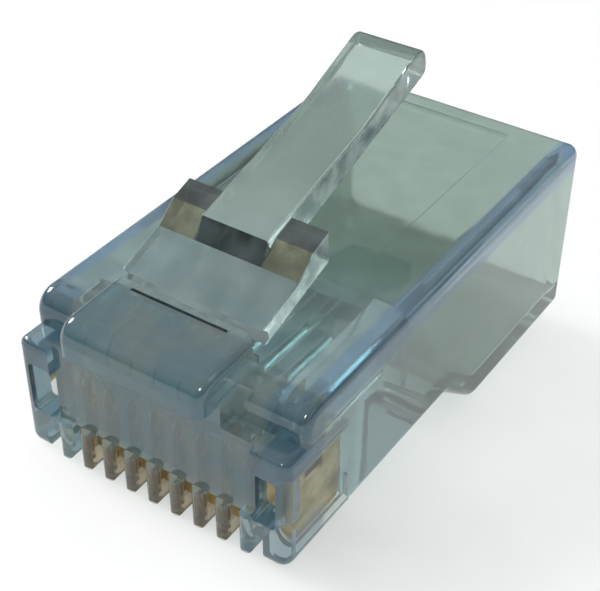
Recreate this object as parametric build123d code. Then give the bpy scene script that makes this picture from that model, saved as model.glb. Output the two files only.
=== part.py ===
from build123d import *
import math
import os

# All sizes are in millimetres. The pieces are drawn with X across the plug, Y from the front face
# of the comb back to the cable entry, and Z up from the underside of the rear section. At the end
# they are moved together, so that the origin is at the bottom centre of the whole plug.

# Moulded body, outside
body_width = 11.68
body_length = 21.53
front_height = 6.32
rear_drop = 1.95
comb_length = 4.2
comb_proud = 0.08
ramp_start = 10.95
ramp_run = 2.5
ramp_rounding = 0.9
ledge_depth = 1.05
ledge_drop = 1.3
top_front_rounding = 0.9
rear_top_rounding = 0.6
rear_low_rounding = 0.5
ledge_rounding = 0.25
comb_nose_rounding = 0.5
edge_rounding = 0.45
past = 1.0

# Nose that carries the latch
nose_width = 6.04
nose_reach = 0.75
nose_drop = 2.05
nose_rise = 1.12
nose_lean = 0.1
nose_rounding = 0.85
nose_lip_rounding = 0.15
nose_edge_rounding = 0.4
slit_from_front = 2.85
slit_length = 4.1
slit_width = 0.14
slit_depth = 0.4

# Latch, drawn along its own plate: U from the hinge axis to the tip, W square to the plate
hinge_from_front = 2.62
hinge_above_top = 0.7
hinge_clearance = 0.03
nose_to_hinge = 0.12
plate_angle = 17.6
plate_width = 6.04
plate_thickness = 0.78
ear_start = 2.45
ear_ramp = 1.05
ear_rise = 0.42
ear_end = 4.5
ear_undercut = 0.35
ear_edge_rounding = 0.08
lever_top_width = 2.84
lever_low_width = 2.94
lever_step_lean = 0.68
lever_step_rise = 0.64
lever_waist = 9.6
lever_waist_rise = 0.23
lever_waist_rounding = 9.0
lever_length = 14.04
lever_tip_rise = 0.57
lever_tip_lean = 0.45
lever_tip_rounding = 0.6
lever_tip_low_rounding = 0.4
lever_corner_rounding = 0.55
lever_edge_rounding = 0.12

# Contacts and the comb that holds them
contact_count = 8
contact_pitch = 1.016
contact_thickness = 0.35
contact_front = 1.0
contact_length = 3.1
contact_height = 3.6
contact_body_height = 2.3
contact_above_comb = 0.05
contact_rounding = 0.3
prong_width = 1.05
prong_tip = 0.35
slot_clearance = 0.03
slot_end_clearance = 0.05
finger_height = 1.7
finger_relief = 0.3
rib_rounding = 0.27
end_notch_width = 0.5
end_notch_height = 1.2
pocket_width = 1.02
pocket_floor = 1.85
pocket_height = 2.15
pocket_depth = 4.05
pocket_rounding = 0.15

# Space for the cable and its wires
side_wall = 0.87
roof_wall = 0.9
floor_wall = 0.9
cavity_rounding = 0.25
cavity_front = 8.05
mouth_flare = 0.3
mouth_flare_length = 1.25
channel_width = 0.92
channel_start = 1.25
channel_height = 0.92
channel_rise = 0.4
channel_rounding = 0.35
wire_above_comb = 4.2
throat_top_start = 7.45
throat_low_start = 6.6
throat_low_end = 9.6
top_relief_width = 6.12
top_relief_depth = 0.1
top_relief_end = 20.3

# Strain relief bar
bar_width = 5.8
bar_side_clearance = 0.1
bar_end_radius = 3.98
bar_clearance = 0.05
bar_tooth_height = 0.15
bar_tooth_run = 1.6
bar_tooth_rounding = 0.2

# Levels and places that follow from the sizes
comb_bottom = rear_drop
middle_bottom = comb_bottom + comb_proud
top = rear_drop + front_height
ledge_height = top - ledge_drop
hinge_height = top + hinge_above_top
ramp_end = ramp_start + ramp_run
ramp_angle = math.atan2(middle_bottom, ramp_run)
bar_hinge_from_front = ramp_start
wire_height = comb_bottom + wire_above_comb
slot_width = contact_thickness + 2 * slot_clearance
contact_bottom = comb_bottom + contact_above_comb
contact_xs = [(i - (contact_count - 1) / 2) * contact_pitch for i in range(contact_count)]
outer_rib_face = contact_count / 2 * contact_pitch + (contact_pitch - slot_width) / 2
pocket_outer_x = outer_rib_face + pocket_width
cavity_width = body_width - 2 * side_wall
cavity_top = top - roof_wall
cavity_low = middle_bottom + floor_wall
bar_hinge_height = middle_bottom + floor_wall / 2


def side_prism(corners, radii, width, centre=0.0):
    """A prism across the plug, from an outline of (y, z) corners and their roundings."""
    outline = make_face(FilletPolyline(*corners, radius=radii, close=True))
    return extrude(Plane.YZ.offset(centre) * outline, width / 2, both=True)


def front_prism(outline, y_from, y_to):
    """A prism along the plug, from a face drawn in (x, z)."""
    return extrude(Plane.XZ.offset(-y_from) * outline, -(y_to - y_from))


def block(x_span, y_span, z_span):
    """A plain block between three pairs of limits."""
    size = [span[1] - span[0] for span in (x_span, y_span, z_span)]
    middle = [(span[1] + span[0]) / 2 for span in (x_span, y_span, z_span)]
    return Pos(*middle) * Box(*size)


def body_outside():
    """The outer form of the housing, with its ledge, comb and deeper rear section."""
    corners = [
        (0, comb_bottom),
        (0, ledge_height),
        (ledge_depth, ledge_height),
        (ledge_depth, top),
        (body_length, top),
        (body_length, 0),
        (ramp_end, 0),
        (ramp_start, middle_bottom),
        (comb_length, middle_bottom),
        (comb_length, comb_bottom),
    ]
    radii = [
        comb_nose_rounding,
        ledge_rounding,
        0,
        top_front_rounding,
        rear_top_rounding,
        rear_low_rounding,
        ramp_rounding,
        ramp_rounding,
        0,
        0,
    ]
    body = side_prism(corners, radii, body_width)
    long_edges = [e for e in body.edges() if abs(abs(e.center().X) - body_width / 2) < 1e-4]
    return fillet(long_edges, edge_rounding)


def nose():
    """The thick root of the latch, over the front of the body."""
    nose_back = hinge_from_front - nose_to_hinge
    corners = [
        (ledge_depth, top - nose_drop),
        (-nose_reach, top - nose_drop),
        (-nose_reach, top + nose_rise - nose_lean),
        (nose_back, top + nose_rise),
        (nose_back, top - ledge_drop),
        (ledge_depth, top - ledge_drop),
    ]
    form = side_prism(corners, [0, nose_lip_rounding, nose_rounding, 0, 0, 0], nose_width)
    outer = [
        e
        for e in form.edges()
        if abs(abs(e.center().X) - nose_width / 2) < 1e-4
        and (e.center().Y < -nose_reach / 2 or e.center().Z > top + nose_rise / 2)
        and e.center().Y < nose_back - past / 2
    ]
    return fillet(outer, nose_edge_rounding)


def hinge_groove():
    """The hollow in the nose that the latch's rounded root turns in."""
    radius = plate_thickness / 2 + hinge_clearance
    return Pos(0, hinge_from_front, hinge_height) * Rot(0, 90, 0) * Cylinder(radius, nose_width + past)


def nose_slit():
    """The thin slit across the top of the nose, which makes its root supple."""
    y = slit_from_front - nose_reach
    z_span = (top + nose_rise - slit_depth, top + nose_rise + past)
    return block((-slit_length / 2, slit_length / 2), (y - slit_width / 2, y + slit_width / 2), z_span)


def rib(x):
    """One rib between two contacts, rounded at its front end and along its lower edges."""
    half = (contact_pitch - slot_width) / 2
    rib_top = comb_bottom + finger_height
    front_corners = [(-half, comb_bottom), (-half, rib_top), (half, rib_top), (half, comb_bottom)]
    plan_corners = [(-half, 0), (-half, comb_length), (half, comb_length), (half, 0)]
    radii = [rib_rounding, 0, 0, rib_rounding]
    seen_from_front = make_face(FilletPolyline(*front_corners, radius=radii, close=True))
    seen_from_above = make_face(FilletPolyline(*plan_corners, radius=radii, close=True))
    upright = Pos(0, 0, comb_bottom) * extrude(seen_from_above, finger_height)
    return Pos(x, 0, 0) * (upright & front_prism(seen_from_front, 0, comb_length))


def end_notch(side):
    """The notch between an outer rib and a side wall, whose lower edges are rounded."""
    half = end_notch_width / 2
    flare = half + rib_rounding
    high = end_notch_height
    outline = Polyline((-half, rib_rounding), (-half, high), (half, high), (half, rib_rounding))
    outline += CenterArc((flare, rib_rounding), rib_rounding, 180, 90)
    outline += Polyline((flare, 0), (flare, -past), (-flare, -past), (-flare, 0))
    outline += CenterArc((-flare, rib_rounding), rib_rounding, 270, 90)
    notch = front_prism(Pos(0, comb_bottom) * make_face(outline), -past, comb_length)
    return Pos(side * (outer_rib_face + half), 0, 0) * notch


def comb_cuts():
    """The space that the ribs stand in, the wells of the contacts and the front wall's relief."""
    x_span = (-outer_rib_face, outer_rib_face)
    finger_top = comb_bottom + finger_height
    cuts = [block(x_span, (-past, comb_length), (comb_bottom - past, finger_top))]
    cuts.append(block(x_span, (-past, finger_relief), (finger_top, ledge_height + past)))
    y_span = (contact_front - slot_end_clearance, contact_front + contact_length + slot_end_clearance)
    z_span = (comb_bottom - past, wire_height)
    for x in contact_xs:
        cuts.append(block((x - slot_width / 2, x + slot_width / 2), y_span, z_span))
    return cuts + [end_notch(side) for side in (-1, 1)]


def end_pockets():
    """The two open pockets between the outer ribs and the side walls."""
    low = comb_bottom + pocket_floor
    centre = Pos(outer_rib_face + pocket_width / 2, low + pocket_height / 2)
    outline = centre * RectangleRounded(pocket_width, pocket_height, pocket_rounding)
    pocket = front_prism(outline, -past, pocket_depth)
    return [pocket, mirror(pocket, about=Plane.YZ)]


def wire_space():
    """The cable cavity, the throat that narrows it and one channel for each wire."""
    shift = floor_wall * math.tan(ramp_angle / 2)
    throat_low = wire_height - channel_height / 2
    throat_top = wire_height + channel_height / 2 + channel_rise
    throat_slope = (throat_low - cavity_low) / (throat_low_end - throat_low_start)
    corners = [
        (cavity_front, cavity_top),
        (body_length + past, cavity_top),
        (body_length + past, floor_wall),
        (ramp_end + shift, floor_wall),
        (ramp_start + shift, cavity_low),
        (throat_low_end, cavity_low),
        (cavity_front, cavity_low + throat_slope * (throat_low_end - cavity_front)),
    ]
    lengthwise = side_prism(corners, [0, 0, 0, ramp_rounding, ramp_rounding, 0, 0], body_width)
    height = cavity_top - floor_wall
    section = Pos(0, floor_wall + height / 2) * RectangleRounded(cavity_width, height, cavity_rounding)
    cavity = lengthwise & front_prism(section, cavity_front, body_length + past)
    flare_start = body_length - mouth_flare_length
    flare_angle = math.degrees(math.atan2(mouth_flare, mouth_flare_length))
    mouth = extrude(Plane.XZ.offset(-flare_start) * section, -mouth_flare_length, taper=-flare_angle)
    throat_corners = [
        (throat_low_start, throat_low),
        (throat_top_start, throat_top),
        (cavity_front, cavity_top),
        (throat_low_end, cavity_top),
        (throat_low_end, cavity_low),
    ]
    throat = side_prism(throat_corners, [0] * 5, contact_count * contact_pitch)
    return [cavity, mouth, throat] + wire_channels(throat_low, throat_top)


def wire_channels(low, rear_top):
    """The channels that bring each wire over its contact, with round floors and flat ceilings."""
    front_top = low + channel_height
    corners = [
        (channel_start, low),
        (channel_start, front_top),
        (throat_top_start, rear_top),
        (throat_top_start, low),
    ]
    channel = side_prism(corners, [0] * 4, channel_width)
    floor_edges = [e for e in channel.edges().filter_by(Axis.Y) if e.center().Z < low + channel_rounding]
    channel = fillet(floor_edges, channel_rounding)
    return [Pos(x, 0, 0) * channel for x in contact_xs]


def top_relief():
    """The shallow flat under the latch, which gives it room when it is pressed."""
    half = top_relief_width / 2
    y_span = (hinge_from_front - nose_to_hinge, top_relief_end)
    return block((-half, half), y_span, (top - top_relief_depth, top + past))


def bar_window():
    """The opening in the floor that the strain relief bar turns in."""
    corners = [
        (bar_hinge_from_front, bar_hinge_height - floor_wall / 2 - past),
        (bar_hinge_from_front, cavity_low + past),
        (bar_hinge_from_front + bar_end_radius + past, cavity_low + past),
        (bar_hinge_from_front + bar_end_radius + past, -past),
        (bar_hinge_from_front, -past),
    ]
    width = bar_width + 2 * bar_side_clearance
    sector = side_prism(corners, [0] * 5, width)
    axis = Pos(0, bar_hinge_from_front, bar_hinge_height) * Rot(0, 90, 0)
    swept = axis * Cylinder(bar_end_radius + bar_clearance, width)
    root = axis * Cylinder(floor_wall / 2 + bar_clearance, width)
    return (sector & swept) + root


def housing():
    """The clear moulded body with its nose, comb and cable space."""
    form = body_outside() + nose()
    cutters = [hinge_groove(), nose_slit(), top_relief(), bar_window()]
    cutters += comb_cuts() + end_pockets() + wire_space()
    for cutter in cutters:
        form -= cutter
    for i in range(contact_count + 1):
        form += rib((i - contact_count / 2) * contact_pitch)
    return form


def plate_prism(corners, radii, width, centre=0.0):
    """A prism across the latch, from an outline of (u, w) corners, set at the plate's angle."""
    form = side_prism(corners, radii, width, centre)
    return Pos(0, hinge_from_front, hinge_height) * Rot(plate_angle, 0, 0) * form


def latch():
    """The flexible latch: a plate with a locking ear at each side and a long lever between."""
    half = plate_thickness / 2
    ear_top = half + ear_rise
    ear_foot = ear_end - ear_undercut
    plate_corners = [
        (0, -half),
        (0, half),
        (ear_start, half),
        (ear_start + ear_ramp, ear_top),
        (ear_end, ear_top),
        (ear_foot, -half),
    ]
    plate = plate_prism(plate_corners, [0] * 6, plate_width)
    plate_edges = [e for e in plate.edges() if abs(abs(e.center().X) - plate_width / 2) < 1e-4]
    plate = fillet(plate_edges, ear_edge_rounding)
    lever_top = half + lever_step_rise
    lever_corners = [
        (ear_start, -half),
        (ear_start, half),
        (ear_start + lever_step_lean, lever_top),
        (lever_waist, half + lever_waist_rise),
        (lever_length, half + lever_tip_rise),
        (lever_length - lever_tip_lean, -half),
    ]
    lever_radii = [0, 0, 0, lever_waist_rounding, lever_tip_rounding, lever_tip_low_rounding]
    blank = side_prism(lever_corners, lever_radii, lever_low_width)
    section = make_face(
        Polyline(
            (-lever_low_width / 2, -half),
            (lever_low_width / 2, -half),
            (lever_top_width / 2, lever_top),
            (-lever_top_width / 2, lever_top),
            close=True,
        )
    )
    lever = blank & front_prism(section, 0, lever_length + past)
    upper = [e for e in lever.edges() if e.center().Z > half and abs(e.center().X) > lever_top_width / 4]
    lever = fillet(upper, lever_edge_rounding)
    plan = Pos(0, lever_length / 2) * RectangleRounded(lever_low_width, lever_length, lever_corner_rounding)
    lever &= extrude(plan, past * 3, both=True)
    lever = Pos(0, hinge_from_front, hinge_height) * Rot(plate_angle, 0, 0) * lever
    root = Pos(0, hinge_from_front, hinge_height) * Rot(0, 90, 0) * Cylinder(half, plate_width)
    return plate + lever + root


def contact():
    """One blade, with two prongs that pierce the wire when the plug is crimped."""
    front = contact_front
    back = contact_front + contact_length
    shoulder = contact_bottom + contact_body_height
    tip = contact_bottom + contact_height
    corners = [
        (front, contact_bottom),
        (front, tip - prong_tip),
        (front + prong_tip, tip),
        (front + prong_width - prong_tip / 2, tip),
        (front + prong_width, shoulder),
        (back - prong_width, shoulder),
        (back - prong_width + prong_tip / 2, tip),
        (back - prong_tip, tip),
        (back, tip - prong_tip),
        (back, contact_bottom),
    ]
    radii = [contact_rounding] + [0] * 8 + [contact_rounding]
    return side_prism(corners, radii, contact_thickness)


def strain_relief():
    """The bar in the floor that is pressed into the cable's jacket."""
    shift = floor_wall * math.tan(ramp_angle / 2)
    tooth_end = ramp_end + shift
    corners = [
        (bar_hinge_from_front, cavity_low),
        (tooth_end - bar_tooth_run, cavity_low),
        (tooth_end - bar_tooth_run / 2, cavity_low + bar_tooth_height),
        (tooth_end + floor_wall, floor_wall),
        (bar_hinge_from_front + bar_end_radius + past, floor_wall),
        (bar_hinge_from_front + bar_end_radius + past, 0),
        (ramp_end, 0),
        (ramp_start, middle_bottom),
    ]
    blank = side_prism(corners, [0, 0, bar_tooth_rounding, 0, 0, 0, ramp_rounding, 0], bar_width)
    axis = Pos(0, bar_hinge_from_front, bar_hinge_height) * Rot(0, 90, 0)
    return (blank & axis * Cylinder(bar_end_radius, bar_width)) + axis * Cylinder(floor_wall / 2, bar_width)


def save(part, name):
    """Moves a finished piece to the plug's own origin and writes it to its file."""
    total_length = body_length + nose_reach
    export_step(Pos(0, nose_reach - total_length / 2, 0) * part, f"parts/{name}.step")


os.makedirs("parts", exist_ok=True)
save(housing(), "housing")
save(latch(), "latch")
save(strain_relief(), "strain_relief")
for number, x in enumerate(contact_xs, start=1):
    save(Pos(x, 0, 0) * contact(), f"contact_{number}")
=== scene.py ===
import math
import bpy
from mathutils import Matrix, Vector

# All sizes are in metres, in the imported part's own frame.
MM = 0.001

# The camera, solved from the corners of the body in the photograph
CAMERA_PLACE = Vector((23.171, -35.374, 37.17)) * MM
CAMERA_RIGHT = (0.82682, 0.56244, 0.005)
CAMERA_BACK = (0.44376, -0.65777, 0.60862)
CAMERA_LENS = 80.93
CAMERA_CLIP = (0.001, 10)
SENSOR_WIDTH = 36

# Every pattern is given by its scale and its detail, and its tones blend over the middle of its range.
PATTERN_MIDDLE = (0.3, 0.7)

# The soft lamps: place, size and power
LAMPS = {
    "key_lamp": ((-0.32, 0.0, 0.24), 0.14, 1.2),
    "front_lamp": ((0.22, -0.22, 0.28), 0.07, 0.45),
}

# The studio dome: its low and high tones, and the heights between which they blend
DOME_LOW = (0.04, 0.045, 0.05, 1)
DOME_HIGH = (0.76, 0.77, 0.77, 1)
DOME_HEIGHT = (0.1, 0.8)
LIGHT_BOUNCES = 32

# The table: the plug lies on its comb and on the front edge of its rear section
COMB_FOOT = Vector((0, -10.09, 1.935)) * MM
REAR_FOOT = Vector((0, 3.06, 0)) * MM
TABLE_HALF = 2.0
TABLE_TONES = ((0.88, 0.88, 0.88, 1), (0.9, 0.9, 0.9, 1))
TABLE_GRAIN = (400.0, 3.0)
TABLE_ROUGHNESS = 0.9
TABLE_SHINE = 0.3

# The hinge of the latch, where it is one with the nose
HINGE_PLACE = Vector((0, -7.77, 8.97)) * MM
HINGE_RADIUS = 0.45 * MM

# The latch, measured along its own plate from the hinge and square to the plate
PLATE_ANGLE = math.radians(17.6)
PLATE_UNDERSIDE = -0.6 * MM
PLATE_TOP = 0.36 * MM
PLATE_FRONT = 0.3 * MM
PLATE_SIDE = 2.98 * MM
EAR_RAMP = (2.44 * MM, 3.49 * MM)
EAR_TOP = (3.49 * MM, 4.52 * MM)
EAR_START = 1.47 * MM
STEP_FACE = (2.44 * MM, 3.12 * MM)
LEVER_SIDE = 1.42 * MM
LEVER_LOW = (10.2 * MM, 11.0 * MM)

# The wells that grip the blades, and the deep part of the pockets beside them
CONTACT_COUNT = 8
CONTACT_PITCH = 1.016 * MM
WELL_HALF_WIDTH = 0.225 * MM
WELL_LENGTH = (-9.42 * MM, -6.26 * MM)
WELL_HEIGHT = (2.0 * MM, 5.7 * MM)
END_POCKET = (3.7 * MM, 5.5 * MM)

# The cloudy part: the nose, the ledges beside it and the wall over the comb
CLOUD_BACK = (-8.4 * MM, -7.9 * MM)
CLOUD_LOW = (3.3 * MM, 4.0 * MM)
SIDE_WALL = (5.4 * MM, 5.7 * MM)
SIDE_WALL_TOP = (5.8 * MM, 6.4 * MM)
LEDGE_START = (4.2 * MM, 4.4 * MM)

# The slit across the nose, darkened inside with painted shade
SLIT_HALF_LENGTH = 2.06 * MM
SLIT_WIDTH = (-8.38 * MM, -8.2 * MM)
SLIT_DEPTH = (8.9 * MM, 9.36 * MM)

# The thin veil over the top of the front section and the latch's plate
VEIL_BACK = (-3.5 * MM, -0.5 * MM)
VEIL_LOW = (7.9 * MM, 8.2 * MM)

# The ribs of the comb between its outer corners, and the clear side walls beside it
COMB_HALF_WIDTH = (3.5 * MM, 3.8 * MM)
WINDOW_START = (4.0 * MM, 4.15 * MM)
WINDOW_BACK = (-6.4 * MM, -6.0 * MM)

# The blue band of painted shade where the top meets the side walls, standing in for the dark refraction of
# the rounded edge
BAND_START = (4.9 * MM, 5.2 * MM)
BAND_LOW = (7.0 * MM, 7.3 * MM)

# The tone goes from the front of the body to the rear between these two places
TONE_LENGTH = (-6.5 * MM, 1.0 * MM)

# The clear plastic; its roughness is a share of the haze pattern, and a rest
PLASTIC_IOR = 1.585
PLASTIC_TONE = (0.56, 0.69, 0.7, 1)
PLASTIC_ROUGHNESS = (0.06, 0.01)
PLASTIC_CLEARNESS = 0.91
PLASTIC_TINT = (0.52, 0.66, 0.68, 1)
PLASTIC_TINT_DENSITY = 130.0
SHADOW_TONE = (0.84, 0.86, 0.85, 1)
HAZE_PATTERN = (900.0, 3.0)
CLOUD_PATTERN = (500.0, 3.0)
WAVE_PATTERN = (260.0, 2.0)
WAVE_STRENGTH = 0.25
WAVE_DEPTH = 0.1 * MM

# The dark and the pale tone of each part, in the order in which they cover each other; on the edge band, the
# slit and the latch the tones are painted shade, and on the comb's ribs a painted reflection of the gold
# blades
PART_TONES = {
    "rear": ((0.285, 0.385, 0.34, 1), (0.335, 0.44, 0.385, 1)),
    "window": ((0.64, 0.72, 0.7, 1), (0.72, 0.8, 0.78, 1)),
    "veil": ((0.3, 0.39, 0.4, 1), (0.42, 0.51, 0.52, 1)),
    "lever": ((0.43, 0.53, 0.49, 1), (0.47, 0.57, 0.53, 1)),
    # the edge band: painted shade, dark blue along the rounded top edges of the side walls
    "painted_edge_shade": ((0.18, 0.29, 0.42, 1), (0.22, 0.33, 0.46, 1)),
    # the comb's ribs: a painted reflection, brown where the gold blades would be seen through the ribs
    "comb_painted_gold_reflection": ((0.47, 0.39, 0.28, 1), (0.53, 0.45, 0.32, 1)),
    "corner": ((0.22, 0.34, 0.4, 1), (0.26, 0.38, 0.44, 1)),
    "cloud": ((0.12, 0.22, 0.26, 1), (0.2, 0.25, 0.24, 1)),
    "ledge": ((0.1, 0.19, 0.26, 1), (0.12, 0.21, 0.28, 1)),
    # the slit: painted shade, near black inside the slit across the nose
    "painted_slit_shade": ((0.03, 0.04, 0.04, 1), (0.05, 0.06, 0.06, 1)),
    # the ears' ramps, the dark facets of the ears and of the lever's step, and the latch's sides: painted
    # shade
    "ramp_painted_shade": ((0.07, 0.07, 0.035, 1), (0.21, 0.22, 0.14, 1)),
    "facet_painted_shade": ((0.01, 0.015, 0.015, 1), (0.07, 0.09, 0.09, 1)),
    "flank_painted_shade": ((0.1, 0.15, 0.14, 1), (0.4, 0.5, 0.47, 1)),
}

# What each part adds to the roughness, and to the share of light that is let through
PART_ROUGHNESS = {"rear": 0.04, "veil": 0.08, "painted_edge_shade": 0.08, "cloud": 0.06}
PART_CLEARNESS = {
    "rear": 0.04,
    "window": 0.08,
    "lever": -0.12,
    # where the shade is painted on the latch, less light is let through
    "dark_latch": -0.3,
    "veil": -0.1,
    "painted_edge_shade": -0.2,
    "corner": -0.2,
    "cloud": -0.3,
}

# The gold; its roughness is a share of the wear pattern, and a rest
GOLD_TONES = ((0.52, 0.37, 0.16, 1), (0.78, 0.62, 0.35, 1))
GOLD_ROUGHNESS = (0.25, 0.2)
GOLD_WEAR = (1500.0, 4.0)


def new_material(name):
    """An empty node material, with its output node."""
    material = bpy.data.materials.new(name)
    material.use_nodes = True
    material.node_tree.nodes.clear()
    return material, material.node_tree.nodes.new("ShaderNodeOutputMaterial")


def add_node(tree, kind, **values):
    """A node of one kind, with its properties and its inputs set by name."""
    node = tree.nodes.new(kind)
    for name, value in values.items():
        if hasattr(node, name):
            setattr(node, name, value)
        else:
            node.inputs[name].default_value = value
    return node


def feed(tree, value, socket):
    """Links a socket to another, or sets its number or colour."""
    if isinstance(value, (int, float, tuple)):
        socket.default_value = value
    else:
        tree.links.new(value, socket)


def object_place(tree):
    """The place of a point on the object."""
    return add_node(tree, "ShaderNodeTexCoord").outputs["Object"]


def split(tree, place):
    """The X, Y and Z of a place."""
    node = add_node(tree, "ShaderNodeSeparateXYZ")
    tree.links.new(place, node.inputs["Vector"])
    return node.outputs


def combine(tree, operation, *parts):
    """Values put together by a math node; each may be a number."""
    node = add_node(tree, "ShaderNodeMath", operation=operation)
    for value, socket in zip(parts, node.inputs):
        feed(tree, value, socket)
    return node.outputs["Value"]


def product(tree, first, *others):
    """Several values multiplied."""
    for other in others:
        first = combine(tree, "MULTIPLY", first, other)
    return first


def largest(tree, first, *others):
    """The largest of several values."""
    for other in others:
        first = combine(tree, "MAXIMUM", first, other)
    return first


def above(tree, value, limit):
    """1 above a limit, and 0 below."""
    return combine(tree, "GREATER_THAN", value, limit)


def below(tree, value, limit):
    """1 below a limit, and 0 above."""
    return combine(tree, "LESS_THAN", value, limit)


def inside(tree, value, low, high):
    """1 between two limits, and 0 outside."""
    return product(tree, above(tree, value, low), below(tree, value, high))


def rise(tree, value, low, high):
    """A smooth step from 0 at one limit to 1 at another."""
    node = add_node(tree, "ShaderNodeMapRange", interpolation_type="SMOOTHSTEP")
    node.inputs["From Min"].default_value = low
    node.inputs["From Max"].default_value = high
    tree.links.new(value, node.inputs["Value"])
    return node.outputs["Result"]


def fall(tree, value, low, high):
    """A smooth step from 1 at one limit to 0 at another."""
    return combine(tree, "SUBTRACT", 1.0, rise(tree, value, low, high))


def mix_colors(tree, factor, first, second):
    """A colour between two others."""
    node = add_node(tree, "ShaderNodeMix", data_type="RGBA")
    tree.links.new(factor, node.inputs[0])
    feed(tree, first, node.inputs[6])
    feed(tree, second, node.inputs[7])
    return node.outputs[2]


def mix_shaders(tree, factor, first, second):
    """A shader between two others."""
    node = add_node(tree, "ShaderNodeMixShader")
    tree.links.new(factor, node.inputs["Fac"])
    tree.links.new(first, node.inputs[1])
    tree.links.new(second, node.inputs[2])
    return node.outputs["Shader"]


def noise(tree, place, scale, detail):
    """A cloud pattern fixed to the object."""
    node = add_node(tree, "ShaderNodeTexNoise", Scale=scale, Detail=detail)
    tree.links.new(place, node.inputs["Vector"])
    return node.outputs["Fac"]


def two_tones(tree, value, dark, pale):
    """A colour that goes from a dark to a pale tone over the middle of a pattern's range."""
    return mix_colors(tree, rise(tree, value, *PATTERN_MIDDLE), dark, pale)


def near_hinge(tree, axes):
    """1 close to the hinge line of the latch."""
    along = combine(tree, "SUBTRACT", axes["Y"], HINGE_PLACE.y)
    up = combine(tree, "SUBTRACT", axes["Z"], HINGE_PLACE.z)
    reach = combine(tree, "ADD", product(tree, along, along), product(tree, up, up))
    return below(tree, combine(tree, "SQRT", reach), HINGE_RADIUS)


def near_blade(tree, axes, half):
    """1 on the walls of the wells that grip the blades, and deep in the end pockets."""
    steps = combine(tree, "MULTIPLY_ADD", axes["X"], 1 / CONTACT_PITCH, CONTACT_COUNT / 2)
    offset = combine(tree, "SUBTRACT", combine(tree, "FRACT", steps), 0.5)
    in_well = below(tree, combine(tree, "ABSOLUTE", offset), WELL_HALF_WIDTH / CONTACT_PITCH)
    in_row = below(tree, half, CONTACT_PITCH * CONTACT_COUNT / 2)
    beside = largest(tree, product(tree, in_well, in_row), inside(tree, half, *END_POCKET))
    return product(tree, beside, inside(tree, axes["Y"], *WELL_LENGTH), inside(tree, axes["Z"], *WELL_HEIGHT))


def body_parts(tree, axes, half):
    """The parts of the plastic by their place, each 1 where it is and 0 elsewhere."""
    front = fall(tree, axes["Y"], *CLOUD_BACK)
    low = fall(tree, axes["Z"], *CLOUD_LOW)
    off_wall = largest(tree, fall(tree, half, *SIDE_WALL), rise(tree, axes["Z"], *SIDE_WALL_TOP))
    cloud = product(tree, front, rise(tree, axes["Z"], *CLOUD_LOW), off_wall)
    clear = combine(tree, "SUBTRACT", 1.0, cloud)
    painted_slit_shade = product(tree, inside(tree, axes["Y"], *SLIT_WIDTH), inside(tree, axes["Z"], *SLIT_DEPTH))
    return {
        "rear": rise(tree, axes["Y"], *TONE_LENGTH),
        "window": product(tree, rise(tree, half, *WINDOW_START), fall(tree, axes["Y"], *WINDOW_BACK)),
        "veil": product(tree, fall(tree, axes["Y"], *VEIL_BACK), rise(tree, axes["Z"], *VEIL_LOW), clear),
        "lever": rise(tree, axes["Z"], *LEVER_LOW),
        # painted shade along the rounded top edges of the side walls
        "painted_edge_shade": product(tree, rise(tree, half, *BAND_START), rise(tree, axes["Z"], *BAND_LOW), clear),
        # painted reflection of the gold blades on the comb's ribs
        "comb_painted_gold_reflection": product(tree, front, low, fall(tree, half, *COMB_HALF_WIDTH)),
        "corner": product(tree, front, low, rise(tree, half, *COMB_HALF_WIDTH)),
        "cloud": cloud,
        "ledge": product(tree, cloud, rise(tree, half, *LEDGE_START)),
        # painted shade inside the slit across the nose
        "painted_slit_shade": product(tree, painted_slit_shade, below(tree, half, SLIT_HALF_LENGTH)),
    }


def latch_parts(tree, place, half):
    """Masks of painted shade on the latch: the ears' ramps, the dark facets of the ears and of the lever's
    step, and the latch's sides.
    """
    turn = add_node(tree, "ShaderNodeMapping", vector_type="TEXTURE")
    turn.inputs["Location"].default_value = HINGE_PLACE
    turn.inputs["Rotation"].default_value = (PLATE_ANGLE, 0, 0)
    tree.links.new(place, turn.inputs["Vector"])
    plate = split(tree, turn.outputs["Vector"])
    on_top = above(tree, plate["Z"], PLATE_TOP)
    ears = product(tree, on_top, above(tree, half, EAR_START))
    middle = product(tree, on_top, below(tree, half, EAR_START))
    ramp_painted_shade = product(tree, ears, inside(tree, plate["Y"], *EAR_RAMP))
    ear_top = product(tree, ears, inside(tree, plate["Y"], *EAR_TOP))
    facet_painted_shade = largest(tree, ear_top, product(tree, middle, inside(tree, plate["Y"], *STEP_FACE)))
    lever_side = product(tree, above(tree, half, LEVER_SIDE), above(tree, plate["Y"], EAR_TOP[1]))
    plate_side = product(tree, above(tree, half, PLATE_SIDE), above(tree, plate["Y"], PLATE_FRONT))
    flank_painted_shade = product(tree, largest(tree, lever_side, plate_side), above(tree, plate["Z"], PLATE_UNDERSIDE))
    return {"ramp_painted_shade": ramp_painted_shade, "facet_painted_shade": facet_painted_shade, "flank_painted_shade": flank_painted_shade, "dark_latch": largest(tree, ramp_painted_shade, facet_painted_shade, flank_painted_shade)}


def plastic_tone(tree, place, haze, parts):
    """The colour of the plastic, part over part, with painted shade on the edge band, the slit and the latch,
    and a painted reflection of the gold on the comb's ribs.
    """
    patches = noise(tree, place, *CLOUD_PATTERN)
    tone = PLASTIC_TONE
    for part, tones in PART_TONES.items():
        pattern = patches if part == "cloud" else haze
        tone = mix_colors(tree, parts[part], tone, two_tones(tree, pattern, *tones))
    return tone


def add_shares(tree, start, parts, shares):
    """A value with the share of each part added where that part is."""
    for part, share in shares.items():
        start = combine(tree, "MULTIPLY_ADD", parts[part], share, start)
    return start


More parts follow.
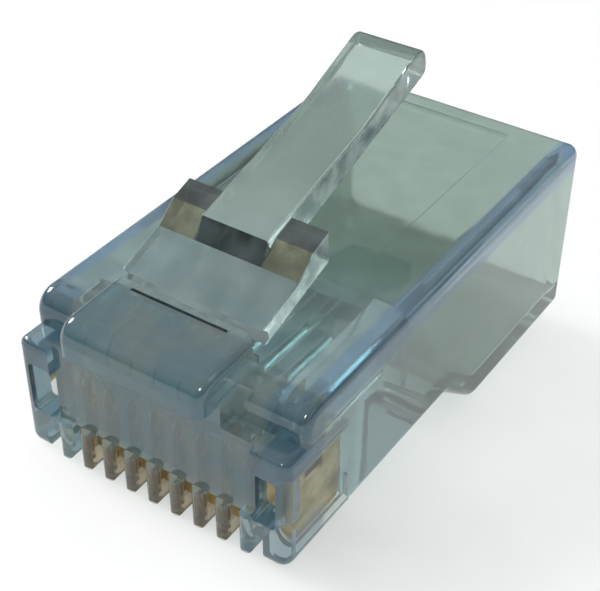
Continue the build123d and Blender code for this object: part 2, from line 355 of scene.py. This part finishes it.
def waves(tree, place):
    """The slight waves of a moulded surface."""
    bump = add_node(tree, "ShaderNodeBump", Strength=WAVE_STRENGTH, Distance=WAVE_DEPTH)
    tree.links.new(noise(tree, place, *WAVE_PATTERN), bump.inputs["Height"])
    return bump.outputs["Normal"]


def lit_through(tree, surface):
    """A surface that shadow and diffuse light pass without a bend, so that the table behind it is lit."""
    light = add_node(tree, "ShaderNodeLightPath").outputs
    soft = largest(tree, light["Is Shadow Ray"], light["Is Diffuse Ray"])
    passed = add_node(tree, "ShaderNodeBsdfTransparent", Color=SHADOW_TONE)
    return mix_shaders(tree, soft, surface, passed.outputs["BSDF"])


def clear_plastic(name):
    """Clear moulded plastic, cloudy at the nose, with painted shade and a painted reflection of the gold in
    places, and with no air gap seen at the hinge or at the blades.
    """
    material, output = new_material(name)
    tree = material.node_tree
    place = object_place(tree)
    axes = split(tree, place)
    half = combine(tree, "ABSOLUTE", axes["X"])
    haze = noise(tree, place, *HAZE_PATTERN)
    parts = body_parts(tree, axes, half) | latch_parts(tree, place, half)
    polish = combine(tree, "MULTIPLY_ADD", haze, *PLASTIC_ROUGHNESS)
    shader = add_node(tree, "ShaderNodeBsdfPrincipled", IOR=PLASTIC_IOR)
    feed(tree, plastic_tone(tree, place, haze, parts), shader.inputs["Base Color"])
    feed(tree, add_shares(tree, polish, parts, PART_ROUGHNESS), shader.inputs["Roughness"])
    clearness = add_shares(tree, PLASTIC_CLEARNESS, parts, PART_CLEARNESS)
    feed(tree, clearness, shader.inputs["Transmission Weight"])
    feed(tree, waves(tree, place), shader.inputs["Normal"])
    joined = largest(tree, near_hinge(tree, axes), near_blade(tree, axes, half))
    gone = add_node(tree, "ShaderNodeBsdfTransparent").outputs["BSDF"]
    surface = mix_shaders(tree, joined, lit_through(tree, shader.outputs["BSDF"]), gone)
    feed(tree, surface, output.inputs["Surface"])
    tint = add_node(tree, "ShaderNodeVolumeAbsorption", Color=PLASTIC_TINT, Density=PLASTIC_TINT_DENSITY)
    feed(tree, tint.outputs["Volume"], output.inputs["Volume"])
    return material


def gold_plate(name):
    """Thin gold plating over stamped metal."""
    material, output = new_material(name)
    tree = material.node_tree
    wear = noise(tree, object_place(tree), *GOLD_WEAR)
    shader = add_node(tree, "ShaderNodeBsdfPrincipled", Metallic=1.0)
    feed(tree, two_tones(tree, wear, *GOLD_TONES), shader.inputs["Base Color"])
    feed(tree, combine(tree, "MULTIPLY_ADD", wear, *GOLD_ROUGHNESS), shader.inputs["Roughness"])
    feed(tree, shader.outputs["BSDF"], output.inputs["Surface"])
    return material


def table_surface(name):
    """A plain white table top."""
    material, output = new_material(name)
    tree = material.node_tree
    grain = noise(tree, object_place(tree), *TABLE_GRAIN)
    shader = add_node(tree, "ShaderNodeBsdfPrincipled", Roughness=TABLE_ROUGHNESS)
    feed(tree, two_tones(tree, grain, *TABLE_TONES), shader.inputs["Base Color"])
    shine = add_node(tree, "ShaderNodeEmission", Strength=1.0).outputs["Emission"]
    light = add_node(tree, "ShaderNodeLightPath").outputs
    seen = largest(tree, light["Is Camera Ray"], light["Is Glossy Ray"], light["Is Transmission Ray"])
    surface = mix_shaders(tree, product(tree, seen, TABLE_SHINE), shader.outputs["BSDF"], shine)
    feed(tree, surface, output.inputs["Surface"])
    return material


def add_table():
    """The table, tilted as the plug leans on it."""
    corners = [(-1, -1, 0), (1, -1, 0), (1, 1, 0), (-1, 1, 0)]
    mesh = bpy.data.meshes.new("table")
    mesh.from_pydata([Vector(corner) * TABLE_HALF for corner in corners], [], [(0, 1, 2, 3)])
    mesh.materials.append(table_surface("table_top"))
    table = bpy.data.objects.new("table", mesh)
    slope = REAR_FOOT - COMB_FOOT
    table.rotation_euler = (math.atan2(slope.z, slope.y), 0, 0)
    table.location = COMB_FOOT
    bpy.context.scene.collection.objects.link(table)


def add_lamp(name, place, size, power):
    """A square soft lamp that points at the plug."""
    data = bpy.data.lights.new(name, "AREA")
    data.size = size
    data.energy = power
    lamp = bpy.data.objects.new(name, data)
    lamp.location = place
    lamp.rotation_euler = (-Vector(place)).to_track_quat("-Z", "Y").to_euler()
    bpy.context.scene.collection.objects.link(lamp)


def add_camera():
    """The camera, at the photograph's viewing angle."""
    data = bpy.data.cameras.new("camera")
    data.sensor_width = SENSOR_WIDTH
    data.lens = CAMERA_LENS
    data.clip_start, data.clip_end = CAMERA_CLIP
    camera = bpy.data.objects.new("camera", data)
    back = Vector(CAMERA_BACK).normalized()
    up = back.cross(Vector(CAMERA_RIGHT)).normalized()
    turn = Matrix((up.cross(back), up, back)).transposed().to_4x4()
    camera.matrix_world = Matrix.Translation(CAMERA_PLACE) @ turn
    bpy.context.scene.collection.objects.link(camera)
    bpy.context.scene.camera = camera


def add_world():
    """A soft studio dome: pale overhead, and dark grey low down all round."""
    world = bpy.data.worlds.new("studio")
    world.use_nodes = True
    tree = world.node_tree
    axes = split(tree, add_node(tree, "ShaderNodeTexCoord").outputs["Generated"])
    tone = mix_colors(tree, rise(tree, axes["Z"], *DOME_HEIGHT), DOME_LOW, DOME_HIGH)
    feed(tree, tone, tree.nodes["Background"].inputs["Color"])
    bpy.context.scene.world = world


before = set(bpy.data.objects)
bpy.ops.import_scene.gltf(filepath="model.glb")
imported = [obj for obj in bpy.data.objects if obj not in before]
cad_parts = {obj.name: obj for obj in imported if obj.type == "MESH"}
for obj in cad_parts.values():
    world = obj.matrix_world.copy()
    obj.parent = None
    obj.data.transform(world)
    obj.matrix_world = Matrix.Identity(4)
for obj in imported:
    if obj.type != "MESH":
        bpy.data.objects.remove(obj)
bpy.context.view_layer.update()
plastic = clear_plastic("clear_plastic")
gold = gold_plate("gold")
for node_name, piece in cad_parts.items():
    piece.material_slots[0].material = gold if node_name.startswith("contact") else plastic
add_table()
add_world()
for lamp_name, values in LAMPS.items():
    add_lamp(lamp_name, *values)
add_camera()
scene = bpy.context.scene
scene.view_settings.view_transform = "Standard"
scene.cycles.max_bounces = LIGHT_BOUNCES
scene.cycles.transmission_bounces = LIGHT_BOUNCES
scene.cycles.transparent_max_bounces = LIGHT_BOUNCES
